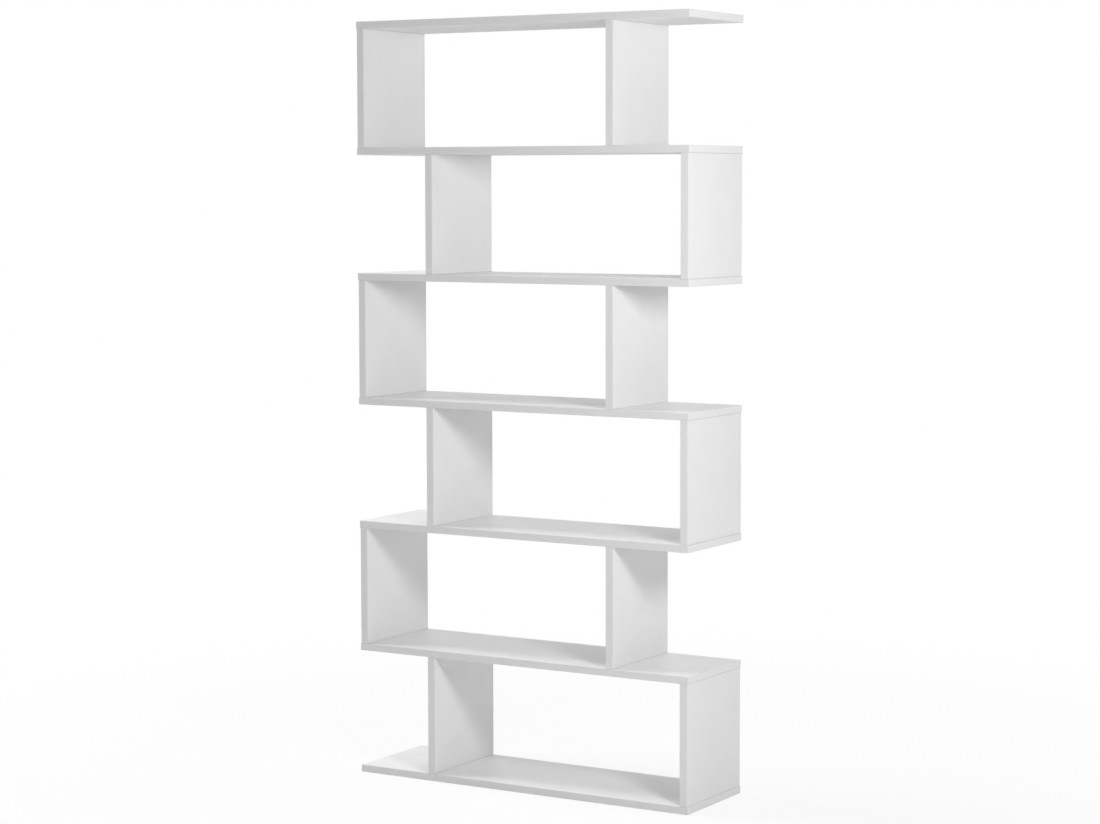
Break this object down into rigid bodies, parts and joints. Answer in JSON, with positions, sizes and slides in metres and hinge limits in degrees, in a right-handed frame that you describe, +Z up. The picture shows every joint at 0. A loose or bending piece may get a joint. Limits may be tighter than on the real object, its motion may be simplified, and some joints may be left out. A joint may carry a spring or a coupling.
{
  "type": "zigzag bookshelf",
  "caption": "Tall open-backed zigzag bookcase of white boards: level shelves on uprights that step in and out from tier to tier, for books or as a room divider.",
  "frame": {"origin": "middle of the lowest shelf's underside, on the floor", "axes": "+X along the shelves to the right as seen from the front, +Y from front to back, +Z up"},
  "size_m": [0.95, 0.272, 1.902],
  "materials": {
    "melamine_board": "white melamine-faced chipboard, satin",
    "edge_band": "white plastic edge strip, satin",
    "biscuit": "pressed beech, raw"
  },
  "bodies": {
    "root": {"shelf_1": "melamine_board", "shelf_1_edge_bands": "edge_band", "shelf_2": "melamine_board", "shelf_2_edge_bands": "edge_band", "shelf_3": "melamine_board", "shelf_3_edge_bands": "edge_band", "shelf_4": "melamine_board", "shelf_4_edge_bands": "edge_band", "shelf_5": "melamine_board", "shelf_5_edge_bands": "edge_band", "shelf_6": "melamine_board", "shelf_6_edge_bands": "edge_band", "shelf_7": "melamine_board", "shelf_7_edge_bands": "edge_band", "tier_1_foot_biscuits": "biscuit", "tier_1_head_biscuits": "biscuit", "tier_1_inner_left_upright": "melamine_board", "tier_1_inner_left_upright_edge_bands": "edge_band", "tier_1_outer_right_upright": "melamine_board", "tier_1_outer_right_upright_edge_bands": "edge_band", "tier_2_foot_biscuits": "biscuit", "tier_2_head_biscuits": "biscuit", "tier_2_inner_right_upright": "melamine_board", "tier_2_inner_right_upright_edge_bands": "edge_band", "tier_2_outer_left_upright": "melamine_board", "tier_2_outer_left_upright_edge_bands": "edge_band", "tier_3_foot_biscuits": "biscuit", "tier_3_head_biscuits": "biscuit", "tier_3_inner_left_upright": "melamine_board", "tier_3_inner_left_upright_edge_bands": "edge_band", "tier_3_outer_right_upright": "melamine_board", "tier_3_outer_right_upright_edge_bands": "edge_band", "tier_4_foot_biscuits": "biscuit", "tier_4_head_biscuits": "biscuit", "tier_4_inner_right_upright": "melamine_board", "tier_4_inner_right_upright_edge_bands": "edge_band", "tier_4_outer_left_upright": "melamine_board", "tier_4_outer_left_upright_edge_bands": "edge_band", "tier_5_foot_biscuits": "biscuit", "tier_5_head_biscuits": "biscuit", "tier_5_inner_left_upright": "melamine_board", "tier_5_inner_left_upright_edge_bands": "edge_band", "tier_5_outer_right_upright": "melamine_board", "tier_5_outer_right_upright_edge_bands": "edge_band", "tier_6_foot_biscuits": "biscuit", "tier_6_head_biscuits": "biscuit", "tier_6_inner_right_upright": "melamine_board", "tier_6_inner_right_upright_edge_bands": "edge_band", "tier_6_outer_left_upright": "melamine_board", "tier_6_outer_left_upright_edge_bands": "edge_band"}
  },
  "joints": []
}
